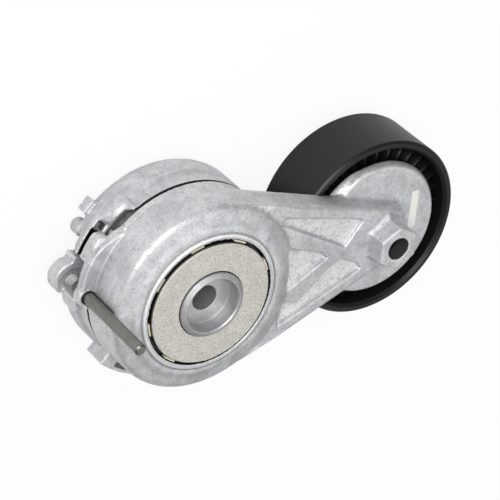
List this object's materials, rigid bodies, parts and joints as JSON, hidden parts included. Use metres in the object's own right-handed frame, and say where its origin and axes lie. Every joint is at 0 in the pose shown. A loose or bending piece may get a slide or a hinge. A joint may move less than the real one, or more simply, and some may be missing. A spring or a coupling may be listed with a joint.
{
  "type": "belt tensioner",
  "caption": "Automatic belt tensioner: a die-cast arm turns on a spring-loaded base and presses a smooth ribbed pulley on a ball bearing against a belt.",
  "frame": {"origin": "on the pivot axis, in the plane of the base's back face, where the engine's face meets it", "axes": "+Z along the pivot axis out of the front disc, +X from the pivot to the pulley's axis at rest"},
  "size_m": [0.1595, 0.0765, 0.0613],
  "materials": {
    "cast_aluminium": "die-cast, matt, with brighter worn edges",
    "grey_steel": "turned, satin",
    "zinc_plate": "cream zinc plate, slightly mottled",
    "spring_steel": "dark oiled spring wire",
    "bronze": "sintered bronze",
    "cream_polymer": "moulded bearing polymer",
    "dark_polymer": "moulded friction polymer with fine teeth",
    "dark_steel": "drawn rod, dull",
    "black_plastic": "moulded glass-filled polyamide",
    "bright_steel": "ground bearing steel",
    "seal_rubber": "moulded"
  },
  "bodies": {
    "base": {"base_housing": "cast_aluminium", "pivot_spindle": "grey_steel", "front_disc": "zinc_plate", "torsion_spring": "spring_steel"},
    "arm": {"arm_casting": "cast_aluminium", "pivot_bush": "bronze", "thrust_washer": "cream_polymer", "rear_thrust_washer": "cream_polymer", "damper_ring": "dark_polymer", "damper_band": "spring_steel", "bearing_inner_ring": "bright_steel", "front_dust_shield": "grey_steel", "pulley_sleeve": "grey_steel", "pulley_bolt": "dark_steel"},
    "pulley": {"pulley_shell": "black_plastic", "bearing_outer_ring": "bright_steel", "seal_front": "seal_rubber", "seal_rear": "seal_rubber"},
    "ball_train": {"ball_cage": "bronze", "ball_1": "bright_steel", "ball_2": "bright_steel", "ball_3": "bright_steel", "ball_4": "bright_steel", "ball_5": "bright_steel", "ball_6": "bright_steel", "ball_7": "bright_steel", "ball_8": "bright_steel"},
    "lock_pin": {"lock_pin": "dark_steel"}
  },
  "joints": [
    {"name": "arm_pivot", "type": "hinge", "parent": "base", "child": "arm", "pos_m": [0, 0, 0], "axis": [0, 0, 1], "range_deg": [-20, 0], "stiffness_Nm_per_rad": 17, "springref_deg": 40.11, "deforming": ["torsion_spring"]},
    {"name": "pulley_spin", "type": "hinge", "parent": "arm", "child": "pulley", "pos_m": [0.079, 0, 0], "axis": [0, 0, 1], "continuous": true},
    {"name": "ball_train_spin", "type": "hinge", "parent": "arm", "child": "ball_train", "pos_m": [0.079, 0, 0], "axis": [0, 0, 1], "continuous": true},
    {"name": "lock_pin_pull", "type": "slide", "parent": "arm", "child": "lock_pin", "axis": [0, 0, 1], "range_m": [0, 0.02]}
  ],
  "couplings": [
    {"joint": "ball_train_spin", "follows": "pulley_spin", "ratio": 0.6178}
  ]
}
